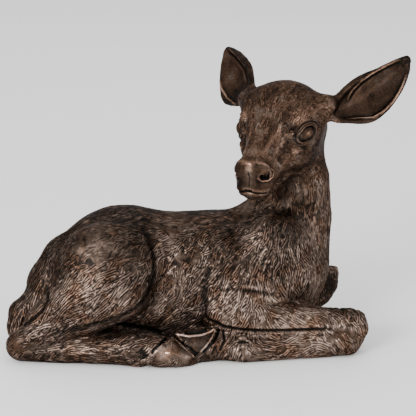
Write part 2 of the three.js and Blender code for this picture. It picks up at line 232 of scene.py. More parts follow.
# %% Hooves, dewclaws, heels and knees, then one skin
FAR_HIND = Vector((0.022, -0.006, 0.0))
FAR_FORE = Vector((-0.008, -0.030, 0.012))
HIND_CLAW = [
    # picture x and y, distance in front of the middle plane
    (172.5, 336, 84), (163, 343, 92), (154.5, 350.5, 97), (153, 358, 99), (161, 365, 103), (176, 367, 106),
    (189, 365, 101), (198, 356.5, 94), (172, 353, 107), (182, 357, 105), (176, 341, 70), (195, 357, 72),
    (165, 362, 72), (158, 352, 72),
]
FORE_HOOF = [
    (174.5, 334, 87), (189, 336.5, 92), (208, 334, 94), (216.5, 327.5, 90), (211.5, 339, 94), (203, 351, 96),
    (198, 355.5, 94), (178, 331, 62), (214, 327, 66), (200, 352, 62),
]
KNEES = [
    # name, distance of its middle, half thickness in mm, picture outline
    ("near_knee", 82, 17, [
        (346, 309.5), (358, 310.5), (365, 314.5), (367, 323),
        (364, 335), (359, 345.5), (350, 353.5), (336, 353),
    ]),
    ("far_knee", -50, 16, [
        (317, 268), (331, 265.5), (337.5, 267), (338.6, 273),
        (337.5, 279.5), (331.5, 289), (329, 301), (319, 303),
    ]),
]
KNEE_INSET = 0.3
KNEE_WAIST = 0.45
HEEL, HEEL_SIZES = (-0.088, -0.094, 0.0105), (10, 10, 6.5)
HORN_BALLS = [
    # picture x and y, distance, half sizes in mm
    (242.5, 338, 93, (6.5, 5, 3.9)),
    (244, 347, 99, (5.5, 6, 5.5)),
]


def block(name, corners):
    shape = bpy.data.meshes.new(name)
    shape.from_pydata(corners, [], [])
    made = bpy.data.objects.new(name, shape)
    bpy.context.collection.objects.link(made)
    edit_all(made, bpy.ops.mesh.convex_hull)
    return made


def pebble(name, depth, half, outline):
    """A block with this outline in the picture, drawn in at its front and back."""
    x0 = sum(x for x, _ in outline) / len(outline)
    y0 = sum(y for _, y in outline) / len(outline)
    ends = 1 - KNEE_INSET
    corners = []
    for step, share in ((-1, ends), (-KNEE_WAIST, 1), (KNEE_WAIST, 1), (1, ends)):
        at = depth + step * half
        corners += [at_depth(x0 + (x - x0) * share, y0 + (y - y0) * share, at) for x, y in outline]
    return block(name, corners)


def ball(name, place, half_sizes):
    scale = [size / MM for size in half_sizes]
    bpy.ops.mesh.primitive_uv_sphere_add(segments=24, ring_count=16, radius=1, location=place, scale=scale)
    bpy.context.object.name = name
    bpy.ops.object.transform_apply(location=True, rotation=True, scale=True)
    return bpy.context.object


def across(point, shift):
    """The same place on the far side of the body, with a shift."""
    return [point[0] + shift.x, -point[1] + shift.y, max(point[2] + shift.z, LEAST_HEIGHT)]


added = []
for name, corners, shift in (("hind_claw", HIND_CLAW, FAR_HIND), ("fore_hoof", FORE_HOOF, FAR_FORE)):
    here = [at_depth(*corner) for corner in corners]
    added.append(block("near_" + name, here))
    added.append(block("far_" + name, [across(point, shift) for point in here]))
for x, y, depth, half_sizes in HORN_BALLS:
    place = at_depth(x, y, depth)
    added.append(ball("near_dewclaw", place, half_sizes))
    added.append(ball("far_dewclaw", across(place, FAR_FORE), half_sizes))
added += [pebble(*values) for values in KNEES]
added.append(ball("near_heel", HEEL, HEEL_SIZES))
added.append(ball("far_heel", across(HEEL, FAR_HIND), HEEL_SIZES))
only(fawn)
for piece in added:
    piece.select_set(True)
bpy.ops.object.join()
fawn.data.remesh_voxel_size = VOXEL
bpy.ops.object.voxel_remesh()
print("joined", len(added), "small forms; clay skin:", len(fawn.data.vertices), "points")

# %% [markdown]
# Half a million points are too many to push one by one, so the skin is read into arrays, worked on there and
# written back. The first use is a smoothing that leaves the volume as it is: a thumb run over the whole clay.

# %% The skin as arrays, smoothed
SMOOTHING_ROUNDS = 22


def read(items, name, width, kind=np.float32):
    """A property of all points, edges or faces, one row for each."""
    flat = np.empty(len(items) * width, dtype=kind)
    items.foreach_get(name, flat)
    return flat.reshape(-1, width)


def points_of(mesh):
    return read(mesh.vertices, "co", 3).astype(np.float64) * MM


def normals_of(mesh):
    return read(mesh.vertex_normals, "vector", 3).astype(np.float64)


def edges_of(mesh):
    return read(mesh.edges, "vertices", 2, np.int32)


def put_points(mesh, points):
    mesh.vertices.foreach_set("co", (points / MM).astype(np.float32).ravel())
    mesh.update()


def averaged(values, edges, count):
    """Each point's mean over its neighbours."""
    columns = values.reshape(count, -1)
    out = np.zeros_like(columns)
    for c in range(columns.shape[1]):
        out[:, c] = np.bincount(edges[:, 0], columns[edges[:, 1], c], count)
        out[:, c] += np.bincount(edges[:, 1], columns[edges[:, 0], c], count)
    degree = np.bincount(edges.ravel(), minlength=count)
    return (out / degree[:, None]).reshape(values.shape)


def smoothed(values, edges, rounds, step_in=0.6, step_out=-0.62):
    """Smooth without shrinking: each round a step in and a slightly larger step out."""
    for _ in range(rounds):
        for step in (step_in, step_out):
            values = values + step * (averaged(values, edges, len(values)) - values)
    return values


mesh = fawn.data
put_points(mesh, smoothed(points_of(mesh), edges_of(mesh), SMOOTHING_ROUNDS))
print("smoothed in", SMOOTHING_ROUNDS, "rounds")

# %% [markdown]
# ## Where things are
#
# The head has a frame of its own: f points to the nose, s to the fawn's left and u up, from the middle of the
# skull. What is carved on one side of the face is mirrored in that frame. The legs and flanks of the far side
# mirror the near ones across the body's middle, with the little shift that the pose gives them.

# %% Head frame, rays and mirrors
HEAD_PLACE = np.array([84.0, -19.5, 272.0])
HEADING, PITCH, ROLL = (math.radians(a) for a in (-124, 10, 2))
BRIDGE_AT, BRIDGE_HALF, BRIDGE_NARROWING = 62, 17, 0.20
BRIDGE_FOOT, BRIDGE_RISE = -34, 22
BACK_OF_BRIDGE = 10
EYE_PIXEL = (306, 132)
STEP_PIXELS = 1.2


def turn(axis, angle):
    c, s = math.cos(angle), math.sin(angle)
    i, j = [(1, 2), (2, 0), (0, 1)][axis]
    m = np.eye(3)
    m[i, i] = m[j, j] = c
    m[i, j], m[j, i] = -s, s
    return m


HEAD_TURN = turn(2, HEADING) @ turn(1, PITCH) @ turn(0, ROLL)


def head_to_world(p):
    return HEAD_PLACE + np.asarray(p, float) @ HEAD_TURN.T


def world_to_head(p):
    return (np.asarray(p, float) - HEAD_PLACE) @ HEAD_TURN


def mirrored_face(points):
    return head_to_world(world_to_head(points) * [1, -1, 1])


# The bridge is narrower than the nose pad in front of it.
skin = points_of(mesh)
local = world_to_head(skin)
waist = np.exp(-(((local[:, 0] - BRIDGE_AT) / BRIDGE_HALF) ** 2))
waist *= np.clip((local[:, 2] - BRIDGE_FOOT) / BRIDGE_RISE, 0, 1) * (local[:, 0] > BACK_OF_BRIDGE)
local[:, 1] *= 1 - BRIDGE_NARROWING * waist
put_points(mesh, head_to_world(local))

surface = BVHTree.FromPolygons([v.co[:] for v in mesh.vertices], [p.vertices[:] for p in mesh.polygons])


def at_pixel(x, y):
    """The point of the skin that the camera sees at a place of the picture, in millimetres."""
    hit = surface.ray_cast(camera.location, ray_through(x, y))[0]
    return None if hit is None else np.array(hit) * MM


def traced(*pixels):
    """A line on the skin under a line of the picture, filled in at every pixel or so."""
    found = []
    for (x0, y0), (x1, y1) in zip(pixels, pixels[1:]):
        steps = max(int(math.hypot(x1 - x0, y1 - y0) / STEP_PIXELS), 1)
        for i in range(steps):
            found.append(at_pixel(x0 + (x1 - x0) * i / steps, y0 + (y1 - y0) * i / steps))
    found.append(at_pixel(*pixels[-1]))
    return unbroken(np.array([p for p in found if p is not None]))


def unbroken(points, leap=7.0):
    """The longest run of a line that stays on one surface."""
    cuts = np.flatnonzero(norm(np.diff(points, axis=0), axis=1) > leap) + 1
    return max(np.split(points, cuts), key=len)


def on_skin(points):
    """The nearest places on the skin."""
    return unbroken(np.array([np.array(surface.find_nearest(Vector(p / MM))[0]) * MM for p in points]))


eye = at_pixel(*EYE_PIXEL)
print("near eye at", eye.round(1), "in the head's frame", world_to_head(eye).round(1))

# %% [markdown]
# ## A finer skin for the face
#
# The eyelids are thinner than two voxels, so the squares around the eyes, the nose and the mouth are cut in
# four. They are picked by their place.

# %% Subdivide the eyes, the nose and the mouth
def edit_faces(picked):
    """Open the mesh with these faces selected, and nothing else."""
    mesh.vertices.foreach_set("select", np.zeros(len(mesh.vertices), dtype=bool))
    mesh.edges.foreach_set("select", np.zeros(len(mesh.edges), dtype=bool))
    mesh.polygons.foreach_set("select", picked)
    bpy.ops.object.mode_set(mode="EDIT")
    bpy.ops.mesh.select_mode(type="FACE")


FINE = [
    # middle in the head's frame, reach in mm
    (world_to_head(eye), 24),
    (world_to_head(eye) * [1, -1, 1], 24),
    (np.array([88.0, 0, -28]), 31),
]
only(fawn)
local = world_to_head(read(mesh.polygons, "center", 3) * MM)
picked = np.zeros(len(local), dtype=bool)
for middle, reach in FINE:
    picked |= norm(local - middle, axis=1) < reach
edit_faces(picked)
bpy.ops.mesh.subdivide(number_cuts=1, smoothness=0)
bpy.ops.object.mode_set(mode="OBJECT")
mesh = fawn.data
print("cut", int(picked.sum()), "faces in four; the skin has", len(mesh.vertices), "points")

# %% [markdown]
# ## The sculpting tool
#
# A wire tool drawn over clay leaves a groove with soft edges, and a roll of clay laid on it leaves a ridge.
# `draw` does both: it finds the points near a line, and notes for each how far it is pushed in or out along
# its normal. The pushes of all strokes are summed and applied together. Three more layers are filled on the
# way, for the coat and the patina: `bare` where the tool has smoothed the coat away, `crease` in grooves and
# `polish` on what is rubbed, with some painted highlights in it.

# %% Strokes along a line
STROKE_EDGE = 2.2
BARE_EDGE = 1.5
FULL_CREASE = 2.0
TINY = 1e-9


def tree_of(points):
    made = kdtree.KDTree(len(points))
    for i, p in enumerate(points):
        made.insert(p, i)
    made.balance()
    return made


skin = points_of(mesh)
normals = normals_of(mesh)
count = len(skin)
push = np.zeros(count)
bare = np.zeros(count)
crease = np.zeros(count)
polish = np.zeros(count)
tree = tree_of(skin)


def near(points, reach):
    """The skin's points within reach of any of these places."""
    found = set()
    for p in points:
        found.update(index for _, index, _ in tree.find_range(p, reach))
    return np.fromiter(found, dtype=np.int64)


def along(line, at):
    """Distance of points from a line, and how far along it they are, from 0 to 1."""
    a, b = line[:-1], line[1:]
    step = b - a
    square = np.maximum((step**2).sum(1), TINY)
    lengths = np.sqrt(square)
    before = np.concatenate([[0], np.cumsum(lengths)[:-1]])
    rel = at[:, None, :] - a[None]
    t = np.clip((rel * step[None]).sum(2) / square, 0, 1)
    gap = norm(rel - t[..., None] * step[None], axis=2)
    best = gap.argmin(1)
    rows = np.arange(len(at))
    return gap[rows, best], (before[best] + t[rows, best] * lengths[best]) / lengths.sum()


def mark(mask, ids, weight):
    """Raise a layer to this weight, where it isn't higher already."""
    mask[ids] = np.maximum(mask[ids], np.clip(weight, 0, 1))


def draw(line, width, height, smooth=0.0, taper=0.15, shine=0.0, dark=1.0):
    """A ridge of this height along a line, or a groove where the height is negative."""
    ids = near(line, width * STROKE_EDGE)
    gap, share = along(line, skin[ids])
    ends = np.clip(np.minimum(share, 1 - share) / taper, 0, 1)
    weight = np.exp(-((gap / width) ** 2)) * ends**0.5
    push[ids] += height * weight
    mark(bare, ids, weight * BARE_EDGE * smooth)
    mark(polish, ids, weight * shine)
    if height < 0:
        mark(crease, ids, weight * dark * min(-height, FULL_CREASE) / FULL_CREASE)


print("sculpting", count, "points")

# %% [markdown]
# ## Eyes
#
# The fawn's eyes are large and blind, as in old bronzes: a smooth ball inside a rim of two lids, with a fold
# above and a dark hollow at the inner corner. The skin around is levelled first. Then every form of the eye
# is a soft bump at some distance from its middle, or at some place towards the nose and up the lid.

# %% The near eye, and its mirror
EYE_REACH, EYE_DEPTH = 21, 14
OUTSIDE_LIDS = 13.5
STRAY = 9
BALL_RADIUS, BALL_EDGE, BALL_SUNK = 11.5, 8.2, 8.1
SINK = 0.4
NEAR_EYE_PIXEL = (308.2, 133)
EYE_TURN = (0.38, 0.06)
RELAX_REACH, RELAX_ROUNDS = 22, 3


def bump(at, middle, width):
    return np.exp(-(((at - middle) / width) ** 2))


def curved(a, b):
    """Terms of a gently curved sheet over two directions."""
    return np.column_stack([np.ones_like(a), a, b, a * a, a * b, b * b])


def eye_relief(a, b, ring, above):
    """Heights in mm over the levelled skin; a runs to the nose, b up the lid, ring out from the middle."""
    dome = np.sqrt(np.clip(BALL_RADIUS**2 - ring**2, 0, None)) - BALL_SUNK
    height = np.where(ring < BALL_EDGE, dome, 0)
    # groove round the ball, lid, groove behind it, outer lid, then the fold above
    height -= 1.4 * bump(ring, 8.6, 0.8)
    height += 1.9 * bump(ring, 9.9, 0.9)
    height -= 0.5 * bump(ring, 11.3, 0.7)
    height += (0.5 + 0.9 * above) * bump(ring, 12.5, 0.9)
    height += 0.8 * above * bump(ring, 16.6, 1.6) - 0.9 * above * bump(ring, 14.3, 1.0)
    # brow, towards the nose and away from it
    height += 2.2 * bump(a, 9, 11) * bump(b, 17.5, 4) + 1.2 * bump(a, -8, 8) * bump(b, 16, 4)
    # hollows at the inner corner and below the eye
    height -= 2.6 * bump(a, 16.5, 4.5) * bump(b, 1.5, 6.5) + 1.6 * bump(a, 10, 8) * bump(b, -15, 4)
    return height


def eye_layers(ids, a, b, ring, above):
    """Mark the smooth, rubbed and dark places of the eye. The middle of the ball and the brow get painted
    highlights; the inner corner and below the eye get dark patina and painted shade.
    """
    corner, below = bump(b, 1.5, 7), bump(a, 10, 8) * bump(b, -15, 4)
    mark(bare, ids, (15 - ring) / 2.5)
    mark(bare, ids, bump(a, 17, 5) * corner + below)
    lids = 0.9 * bump(ring, 10.1, 0.8) + 0.7 * bump(ring, 12.5, 0.8)
    grooves = bump(ring, 8.6, 0.9) + 0.6 * bump(ring, 11.3, 0.6) + 0.7 * above * bump(ring, 14.3, 0.9)
    # painted highlight: the bright spot in the middle of the ball; the lids are rubbed. The next line paints
    # the brow's highlight.
    mark(polish, ids, 0.65 * bump(ring, 0, 5) + lids)
    mark(polish, ids, 0.6 * bump(a, 9, 10) * bump(b, 17, 4))
    # dark patina and painted shade in the hollows at the inner corner and below the eye
    mark(crease, ids, 0.8 * bump(a, 17, 4.5) * corner + 0.55 * below)
    mark(crease, ids, grooves)


def model_eye(middle, out, to_nose, up_):
    """Level the skin around the eye, then raise the ball and the two lids on it."""
    a, b, d = (skin - middle) @ to_nose, (skin - middle) @ up_, (skin - middle) @ out
    reach = np.hypot(a, b)
    around = (reach < EYE_REACH) & (np.abs(d) < EYE_DEPTH) & (normals @ out > 0.1)
    outer = np.where(around & (reach > OUTSIDE_LIDS))[0]
    fit = np.linalg.lstsq(curved(a[outer], b[outer]), d[outer], rcond=None)[0]
    ids = np.where(reach < EYE_REACH)[0]
    ids = ids[np.abs(d[ids] - curved(a[ids], b[ids]) @ fit) < STRAY]
    a, b, d, reach = a[ids], b[ids], d[ids], reach[ids]
    toward_nose = np.clip(a / 10, 0, 1)
    ring = np.hypot(a / (1.38 + 0.2 * toward_nose), 1.1 * b + 0.22 * toward_nose * a)
    above = np.clip(0.6 + b / 8, 0, 1)
    level = curved(a, b) @ fit - SINK
    blend = np.clip((EYE_REACH - 1 - reach) / 5, 0, 1)
    blend = blend * blend * (3 - 2 * blend)
    skin[ids] += ((level + eye_relief(a, b, ring, above) - d) * blend)[:, None] * out
    eye_layers(ids, a, b, ring, above)


def eye_axes(middle):
    """Out of the socket, towards the nose and up along the lid, in the world."""
    forward, upturn = EYE_TURN
    out = np.array([forward, math.copysign(1.0, middle[1]), upturn])
    out /= norm(out)
    up_ = np.array([0.0, 0.0, 1.0]) - out * out[2]
    up_ /= norm(up_)
    to_nose = np.cross(up_, out)
    to_nose *= math.copysign(1.0, to_nose[0])
    return out @ HEAD_TURN.T, to_nose @ HEAD_TURN.T, up_ @ HEAD_TURN.T


near_eye = world_to_head(at_pixel(*NEAR_EYE_PIXEL))
skin_edges = edges_of(mesh)
for middle in (near_eye, near_eye * [1, -1, 1]):
    model_eye(on_skin([head_to_world(middle)])[0], *eye_axes(middle))
    around_eye = norm(skin - head_to_world(middle), axis=1) < RELAX_REACH
    for _ in range(RELAX_ROUNDS):
        skin[around_eye] += 0.5 * (averaged(skin, skin_edges, count) - skin)[around_eye]
put_points(mesh, skin)
normals = normals_of(mesh)
print("eyes modelled at", near_eye.round(1), "and its mirror")

# %% [markdown]
# ## Nose and mouth
#
# The nose is a smooth pad with a cleft down its middle. Each nostril is a comma, deep, with a raised rim on
# its outer side. The line of the mouth runs back from the cleft and rises to the cheek. They are traced where
# the picture shows them, and all but the cleft are mirrored for the side that turns away.

# %% Bridge, nostrils, cleft and mouth line
PAD_FROM, PAD_LENGTH = 80, 14
PAD_FOOT, PAD_HEIGHT = -50, 12
PAD_SHINE = 0.10
FACE_LINES = [
    # name, width, height, smooth, shine, dark, picture line
    # the shine of the bridge and the cheek paints their highlights
    ("bridge", 4.5, 0.7, 0, 0.04, 1, [(283, 122), (278, 130), (272, 140), (266, 150), (262, 157)]),
    ("hollow beside it", 7.0, -1.2, 0, 0, 0.12, [(291, 138), (288, 146), (283, 155), (279, 163)]),
    ("cheek", 4.5, 1.1, 0, 0.08, 1, [(292, 153), (300, 149), (308, 145), (315, 139)]),
    ("jaw", 6.0, 0.9, 0, 0, 1, [(283, 178), (291, 174), (300, 172), (309, 166)]),
    ("top of the nose", 2.4, 0.6, 0.4, 0.45, 1,
     [(240, 164.5), (248, 162.5), (256, 162.5), (264, 164), (270, 167)]),
    ("hollow behind it", 5.0, -0.7, 0, 0, 0.1,
     [(244, 157), (252, 156.5), (260, 157.5), (267, 160), (274, 166)]),
    ("nostril", 1.5, -4.2, 1, 0, 1,
     [(260, 175.5), (263, 178), (267.5, 178), (270, 174.5), (269, 170.5)]),
    ("its rim", 1.0, 1.2, 1, 0.45, 1,
     [(257, 178), (261.5, 181.3), (267.5, 181), (272.3, 177), (273.3, 171.5), (270.5, 167.5)]),
    ("cleft", 1.0, -0.4, 1, 0, 0.2, [(248, 171), (249.5, 178), (249, 187)]),
    ("mouth", 1.2, -1.6, 0.3, 0, 0.75,
     [(244, 190), (250, 192), (256, 193.5), (263, 194), (270, 193), (276, 190), (281, 186.5), (288, 183.5)]),
    ("upper lip", 2.2, 0.45, 0.1, 0, 1,
     [(247, 188.5), (256, 190.5), (263, 191), (269, 190), (275, 187), (280, 183.5)]),
]

in_head = world_to_head(skin)
nose_pad = np.clip((in_head[:, 0] - PAD_FROM) / PAD_LENGTH, 0, 1)
nose_pad *= np.clip((in_head[:, 2] - PAD_FOOT) / PAD_HEIGHT, 0, 1)
mark(bare, slice(None), nose_pad)
mark(polish, slice(None), nose_pad * PAD_SHINE)
for name, width, height, smooth, shine, dark, pixels in FACE_LINES:
    line = traced(*pixels)
    draw(line, width, height, smooth, shine=shine, dark=dark)
    if name != "cleft":
        draw(on_skin(mirrored_face(line)), width, height, smooth, shine=shine, dark=dark)
print("face carved with", len(FACE_LINES), "lines")

# %% [markdown]
# The ears have rolled rims: a ridge along each edge, and a fine groove where the front rim meets the bowl.
# Inside they are smooth and a little darker. Each ear has its own lines, because both show in the picture.

# %% Rims of the ears
EAR_LINES = [
    # width, height, smooth, shine, dark, picture line
    (1.6, -0.7, 0.9, 0, 0.6, [(350, 99), (355, 91), (363, 83), (373, 76), (387, 68), (400, 61)]),
    (1.6, 0.9, 0.2, 0.25, 1, [(347, 100), (352, 90.5), (361, 81.5), (372, 73.5), (386, 65.5), (400, 59)]),
    (1.4, 0.9, 0.6, 0.35, 1,
     [(346, 119), (360, 118), (373, 117.5), (384, 111), (393, 102), (401, 89), (407, 74)]),
    (1.6, -0.7, 0.9, 0, 0.6, [(228, 51), (235, 58), (243, 68), (247, 80), (248, 92)]),
    (1.4, 0.9, 0.2, 0.25, 1, [(229, 48.5), (238, 57), (246, 67), (250, 80), (251, 93)]),
    (1.3, 0.7, 0.6, 0.35, 1, [(219, 74), (221, 88), (227, 98), (236, 105)]),
]
for width, height, smooth, shine, dark, pixels in EAR_LINES:
    draw(traced(*pixels), width, height, smooth, shine=shine, dark=dark)
print("ear rims drawn:", len(EAR_LINES))

# %% [markdown]
# ## Folds of the body and legs
#
# Deep folds run in front of the haunch, beside the tail, behind the elbow and between the folded bones of
# the legs. The founder's coating stays dark in them. Those behind the belly are on the far side too.

# %% Folds
FOLDS = [
    # picture line, width, height, smooth, whether the far side shows it too
    ([(141, 228), (147, 235), (151, 244), (155, 258), (155, 272), (152, 286), (145, 299), (136, 308),
      (122, 317), (104, 323), (80, 329), (52, 334)], 5.5, -1.7, 0, True),
    ([(55, 262), (51, 275), (48, 288), (47, 300), (40, 312), (28, 322), (14, 331)], 3.8, -2.2, 0, True),
    ([(210, 266), (206, 282), (204, 296), (204, 310), (206, 319)], 5.4, -1.7, 0, False),
    ([(206, 319), (214, 322), (224, 327), (238, 329.5), (256, 331), (280, 331), (306, 330), (332, 329)],
     2.6, -1.9, 0.4, False),
    ([(214, 300), (222, 291), (232, 288), (246, 290.5), (262, 293), (276, 295)], 3.2, -1.3, 0, False),
    ([(211, 305), (217, 296), (226, 288), (236, 285.5), (248, 287), (262, 289)], 3.6, 1.2, 0, False),
    ([(100, 325), (118, 324), (134, 326), (150, 329), (163, 332)], 3.4, -1.6, 0.5, True),
]
FOLD_DARKNESS, SMOOTH_FOLD_DARKNESS = 0.3, 0.6
BEHIND_MIDDLE, TOP_OF_LEGS = -30, 70
FEET = [at_pixel(174, 350), at_pixel(203, 340)]
FEET += [np.array(across(foot / MM, shift)) * MM for foot, shift in zip(FEET, (FAR_HIND, FAR_FORE))]


def to_far_side(line):
    """A line of the body's near side, laid on the far one."""
    fore = np.array(FAR_FORE) * (line[:, 2:] < TOP_OF_LEGS)
    shift = np.where(line[:, :1] < BEHIND_MIDDLE, np.array(FAR_HIND), fore)
    return on_skin(line * [1, -1, 1] + shift * MM)


for pixels, width, height, smooth, both_sides in FOLDS:
    line = traced(*pixels)
    darkness = FOLD_DARKNESS + SMOOTH_FOLD_DARKNESS * smooth
    draw(line, width, height, smooth, dark=darkness)
    if both_sides:
        draw(to_far_side(line), width, height, smooth, dark=darkness)
print("folds drawn:", len(FOLDS))

# %% [markdown]
# ## The coat
#
# The coat is thousands of short, slightly curved strokes that lie the way hair grows: back from the nose over
# the brow, down the neck, back and down over the ribs and the thigh, and along the bones of the legs. Guides
# give the direction, size and strength of the strokes at places of the body, and every stroke takes its
# values from the guides around it. A new stroke covers the ones below it, as locks do.

# %% Guides: place, direction, length, width, depth and curl
BODY_GUIDES = np.array([
    # x, y, z, direction x, y, z, length, width, depth, curl
    [-130, -90, 100, -0.75, 0, -0.66, 24, 2.6, 0.95, 0.25],
    [-172, -80, 74, -0.8, 0, -0.6, 24, 2.5, 1, 0.25],
    [-100, -85, 92, -0.62, 0, -0.78, 20, 2.5, 0.9, 0.35],
    [-110, -80, 132, -0.8, 0, -0.6, 12, 2.4, 0.3, 0.8],
    [-150, -60, 140, -0.85, 0, -0.52, 11, 2.4, 0.25, 0.8],
    [-190, -40, 95, -0.35, 0, -0.93, 16, 2.5, 0.6, 0.5],
    [-228, -15, 50, -0.15, 0, -0.98, 20, 2.4, 0.8, 0.4],
    [-60, -70, 92, -0.35, 0, -0.93, 11, 2.5, 0.85, 1],
    [-40, -75, 60, -0.75, 0, -0.66, 18, 2.5, 0.85, 0.5],
    [-85, -80, 50, -0.8, 0, -0.6, 20, 2.4, 0.85, 0.4],
    [-20, -55, 130, -0.6, 0, -0.8, 12, 2.5, 0.7, 0.9],
    [-60, -10, 165, -0.98, 0, -0.1, 11, 2.3, 0.28, 0.6],
    [30, -10, 158, -0.98, 0, -0.1, 11, 2.3, 0.28, 0.6],
    [15, -70, 95, -0.55, 0, -0.83, 17, 2.5, 0.95, 0.5],
    [60, -62, 120, -0.2, 0, -0.98, 18, 2.6, 1, 0.7],
    [95, -60, 105, 0.1, 0, -1, 18, 2.6, 0.95, 0.7],
    [50, -40, 150, -0.55, 0, -0.83, 13, 2.5, 0.65, 0.7],
    [20, -85, 62, -0.5, 0, -0.86, 17, 2.5, 0.9, 0.5],
    [80, -90, 48, 0.72, 0, -0.7, 13, 2.5, 0.8, 0.7],
    [150, -95, 40, 0.45, 0, -0.9, 12, 2.5, 0.75, 0.7],
    [90, -98, 12, 0.93, 0, 0.36, 16, 2.4, 0.75, 0.5],
    [-150, -82, 16, -0.98, 0, 0.18, 18, 2.4, 0.75, 0.4],
    [-220, -60, 25, -0.85, 0, -0.52, 14, 2.5, 0.8, 0.6],
    [125, -30, 150, 0.05, 0, -1, 13, 2.1, 0.5, 0.4],
    [112, -34, 190, 0, 0, -1, 13, 2, 0.4, 0.4],
    [70, -10, 200, -0.2, 0, -0.98, 12, 2, 0.35, 0.4],
    [150, 0, 90, 0.2, 0, -0.98, 14, 2.5, 0.7, 0.7],
])
HEAD_GUIDES = np.array([
    # f, s, u, direction f, s, u, length, width, depth, curl
    [66, 0, 8, -0.95, 0, 0.3, 9, 1.8, 0.196, 0.3],
    [35, 0, 26, -0.85, 0, 0.5, 10, 1.9, 0.308, 0.4],
    [8, 12, 42, -0.8, 0.35, 0.45, 11, 1.9, 0.392, 0.5],
    [-20, 10, 52, -0.98, 0.1, 0, 10, 2, 0.28, 0.5],
    [28, 26, 20, -0.6, 0.35, 0.7, 10, 1.9, 0.42, 0.4],
    [50, 24, -8, -0.95, 0.1, 0.2, 9, 1.8, 0.28, 0.4],
    [40, 26, -30, -0.9, 0, -0.4, 9, 1.8, 0.28, 0.4],
    [5, 46, -15, -0.85, 0, -0.5, 10, 1.9, 0.308, 0.5],
    [-20, 44, -5, -0.6, 0.1, -0.8, 10, 1.9, 0.308, 0.5],
    [-50, 15, 20, -0.6, 0, -0.8, 10, 2, 0.308, 0.5],
    [10, 0, -60, -0.95, 0, -0.25, 9, 2, 0.308, 0.5],
    [-60, 80, 32, -0.62, 0.72, 0.2, 10, 1.8, 0.196, 0.3],
])


def guides():
    """All guides in the body's frame, with their mirrors."""
    other_side = [1, -1, 1, 1, -1, 1] + [1] * 4
    body = np.vstack([BODY_GUIDES, BODY_GUIDES * other_side])
    face = np.vstack([HEAD_GUIDES, HEAD_GUIDES * other_side])
    face[:, :3] = head_to_world(face[:, :3])
    face[:, 3:6] = face[:, 3:6] @ HEAD_TURN.T
    return np.vstack([body, face])


GUIDES = guides()
GUIDE_SOFTNESS = 6


def coat_at(places):
    """Direction, length, width, depth and curl of the coat, blended from the guides."""
    gap = norm(places[:, None] - GUIDES[None, :, :3], axis=2)
    weight = 1 / (gap + GUIDE_SOFTNESS) ** 4
    weight /= weight.sum(1, keepdims=True)
    return weight @ GUIDES[:, 3:]


print("guides:", len(GUIDES))

# %% [markdown]
# The ears carry no coat inside and little of it outside. What is inside an ear is told by two things: how far
# a point lies from the ear's foot towards its tip, and whether the skin there faces the way the ear opens.

# %% Ears are smooth inside
EAR_BASE = np.array([-20.0, 46, 22])
EAR_TIP = np.array([-121.0, 124, 50])
EAR_OPEN = np.array([0.8, 0.44, 0.42])
INNER_FROM, INNER_EDGE = 0.06, 0.08
OUTER_FROM, OUTER_EDGE, BACK_OF_EAR = 0.1, 0.2, 0.45
EAR_DARKNESS = 0.08
for side in (1, -1):
    hand = np.array([1, side, 1])
    lengthwise = (EAR_TIP - EAR_BASE) * hand
    reach = norm(lengthwise)
    lengthwise /= reach
    opening = EAR_OPEN * hand
    opening = opening - lengthwise * (opening @ lengthwise)
    opening /= norm(opening)
    rel = in_head - EAR_BASE * hand
    share = rel @ lengthwise / reach
    outward = rel[:, 1] * side
    facing = np.clip((normals @ HEAD_TURN) @ opening * 4, 0, 1)
    inner = np.clip((share - INNER_FROM) / INNER_EDGE, 0, 1) * (outward > -4) * facing
    outer = np.clip((share - OUTER_FROM) / OUTER_EDGE, 0, 1) * (outward > 0) * BACK_OF_EAR
    mark(bare, slice(None), np.maximum(inner, outer))
    mark(crease, slice(None), inner * EAR_DARKNESS)
print("bare share of the skin:", round(float((bare > 0.5).mean()), 3))

# %% [markdown]
# Hooves and dewclaws are horn: smooth, and the most polished places of the whole casting.

# %% Hooves are smooth
HORN = [
    # picture x and y of the middle, reach in mm, shine
    (165, 353, 14, 0.45), (177, 349, 14, 0.45), (187, 356, 12, 0.45), (160, 358, 9, 0.45),
    (197, 341, 14, 0.2), (187, 333, 11, 0.2), (207, 332, 10, 0.2), (242.5, 338, 6, 0.2), (244, 347, 6, 0.2),
]
SPOT_EDGE, SHINE_EDGE = 3, 4

for x, y, reach, shine in HORN:
    spot = at_pixel(x, y)
    for place in (spot, to_far_side(spot[None])[0]):
        inward = reach - norm(skin - place, axis=1)
        mark(bare, slice(None), inward / SPOT_EDGE)
        mark(polish, slice(None), inward / SHINE_EDGE * shine)
print("smooth spots:", 2 * len(HORN))

# %% [markdown]
# Broad soft spots tell where the founder rubbed more or less, and they also paint light and shade. The legs,
# the forehead and the claws are the brightest, with painted light. The back, beside the tail, the neck and
# around the eyes are darker, with thicker coating and painted shade; a small spot on the brow is a painted
# highlight.

# %% Rubbed places, painted light and painted shade
RUBBED_AND_PAINTED_LIGHT = [
    # picture x and y, reach in mm, shine, negative where it is darker: thicker coating and painted shade
    (110, 292, 60, 0.01), (290, 312, 60, 0.15), (335, 315, 50, 0.12), (356, 328, 36, 0.10),
    (300, 340, 60, 0.06), (120, 225, 75, -0.28), (50, 262, 70, -0.26), (200, 216, 75, -0.16),
    (25, 300, 40, -0.25), (270, 200, 50, -0.16), (285, 220, 40, -0.24), (328, 282, 26, -1.00),
    (252, 175, 22, -0.32), (265, 145, 20, -0.13), (280, 105, 34, 0.17), (172, 352, 24, 0.28),
    # (303, 117) paints the brow's highlight; (291, 129) and (297, 144) paint shade in the hollows by the eye
    (215, 280, 60, 0.02), (180, 290, 35, 0.10), (303, 117, 9, 0.45), (291, 129, 9, -0.40),
    (297, 144, 9, -0.30),
]
HEAD_ABOVE = 205
SPOT_FALL = 1.6

